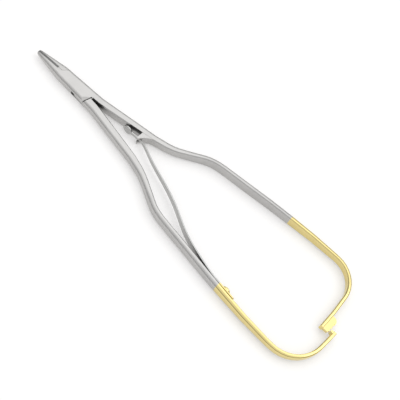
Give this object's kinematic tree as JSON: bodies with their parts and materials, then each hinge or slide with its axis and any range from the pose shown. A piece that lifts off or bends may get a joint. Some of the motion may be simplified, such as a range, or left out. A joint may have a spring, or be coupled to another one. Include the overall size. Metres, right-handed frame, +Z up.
{
  "type": "surgical needle holder",
  "caption": "Palm needle holder with carbide-faced jaws, a box joint, bowed handles, a leaf spring and an end ratchet.",
  "frame": {"origin": "middle of the bounding box in plan, on the plane of the handles' flat undersides, with the instrument lying flat", "axes": "+X along the instrument from the jaw tips to the ratchet, +Y towards the handle of the box arm, +Z up out of the plane that the handles rest on"},
  "size_m": [0.1746, 0.0528, 0.0055],
  "materials": {
    "instrument_steel": "satin, gold plated over the last quarter of each handle and the ratchet",
    "carbide": "matte grey with a fine cross-cut face",
    "spring_steel": "satin, gold plated at the foot",
    "gold_plated_steel": "polished gold plating"
  },
  "bodies": {
    "box_arm": {"box_arm": "instrument_steel", "joint_pin": "instrument_steel", "box_jaw_insert": "carbide"},
    "tongue_arm": {"tongue_arm": "instrument_steel", "tongue_jaw_insert": "carbide", "leaf_spring": "spring_steel", "spring_screw": "gold_plated_steel"}
  },
  "joints": [
    {"name": "box_joint", "type": "hinge", "parent": "box_arm", "child": "tongue_arm", "pos_m": [-0.06401, 0, 0.00275], "axis": [0, 0, -1], "range_deg": [0, 18]}
  ]
}
